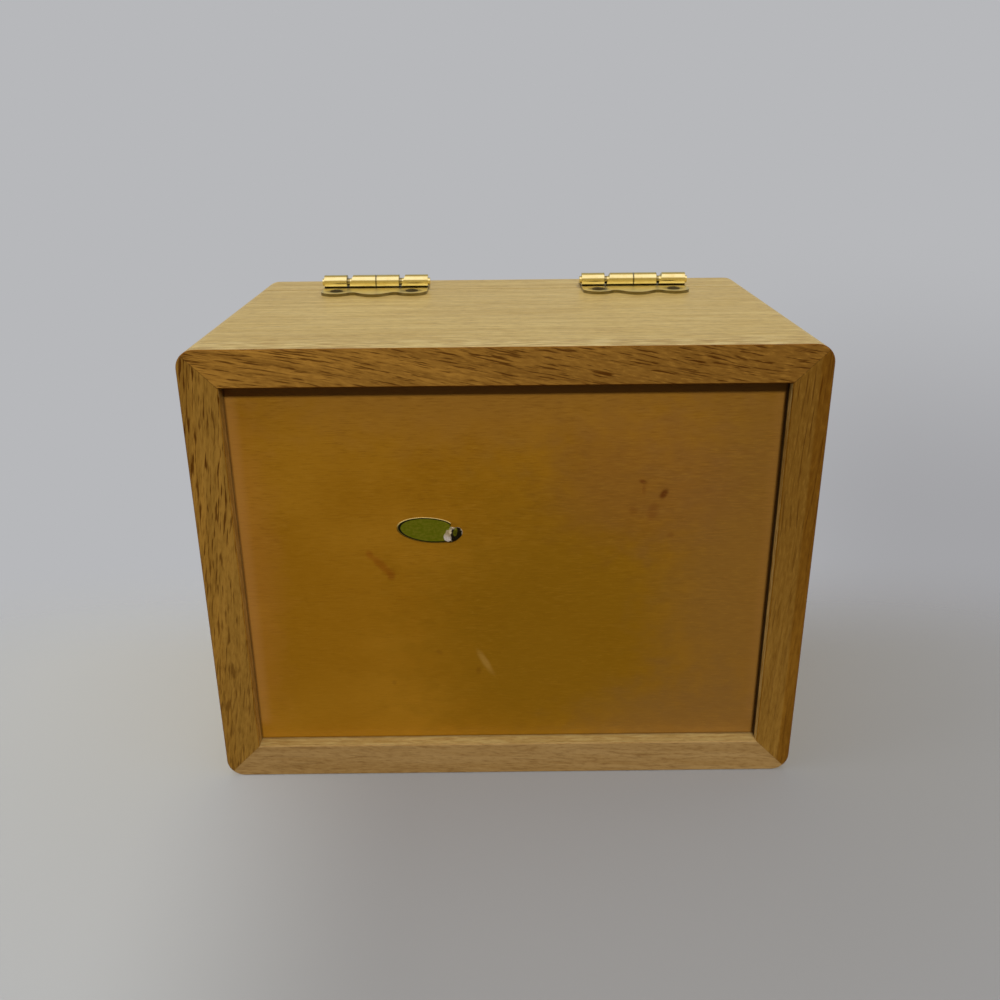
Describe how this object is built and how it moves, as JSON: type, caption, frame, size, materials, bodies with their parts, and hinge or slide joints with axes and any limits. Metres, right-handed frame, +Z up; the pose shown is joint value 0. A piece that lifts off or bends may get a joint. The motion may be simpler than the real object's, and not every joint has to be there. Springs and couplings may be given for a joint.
{
  "type": "keepsake box",
  "caption": "Small wooden keepsake box with mitred walls, a recessed bottom panel and a framed lid that swings open on brass butt hinges at the back.",
  "frame": {"origin": "on the surface it stands on, under the middle of the footprint with the hinge barrels counted in", "axes": "+Z up, +Y towards the hinges at the back, +X to the right of someone who faces the front"},
  "size_m": [0.14, 0.112, 0.093],
  "materials": {
    "case_wood": "satin lacquer over pale open-pored hardwood",
    "lid_wood": "satin lacquer over pale open-pored hardwood",
    "lid_panel_wood": "satin lacquer over pale open-pored hardwood",
    "panel_plywood": "thin varnish over fine-grained plywood",
    "hinge_brass": "bright plated",
    "screw_brass": "bright plated",
    "sticker_foil": "metallic foil"
  },
  "bodies": {
    "box": {"front_wall": "case_wood", "back_wall": "case_wood", "left_wall": "case_wood", "right_wall": "case_wood", "bottom_panel": "panel_plywood", "left_hinge_body_leaf": "hinge_brass", "left_hinge_pin": "hinge_brass", "left_hinge_body_screws": "screw_brass", "right_hinge_body_leaf": "hinge_brass", "right_hinge_pin": "hinge_brass", "right_hinge_body_screws": "screw_brass", "foil_sticker": "sticker_foil"},
    "lid": {"lid_front_rail": "lid_wood", "lid_back_rail": "lid_wood", "lid_left_rail": "lid_wood", "lid_right_rail": "lid_wood", "lid_panel": "lid_panel_wood", "left_hinge_lid_leaf": "hinge_brass", "left_hinge_lid_screws": "screw_brass", "right_hinge_lid_leaf": "hinge_brass", "right_hinge_lid_screws": "screw_brass"}
  },
  "joints": [
    {"name": "lid_hinge", "type": "hinge", "parent": "box", "child": "lid", "pos_m": [0, 0.05415, 0.0745], "axis": [-1, 0, 0], "range_deg": [0, 190]}
  ]
}
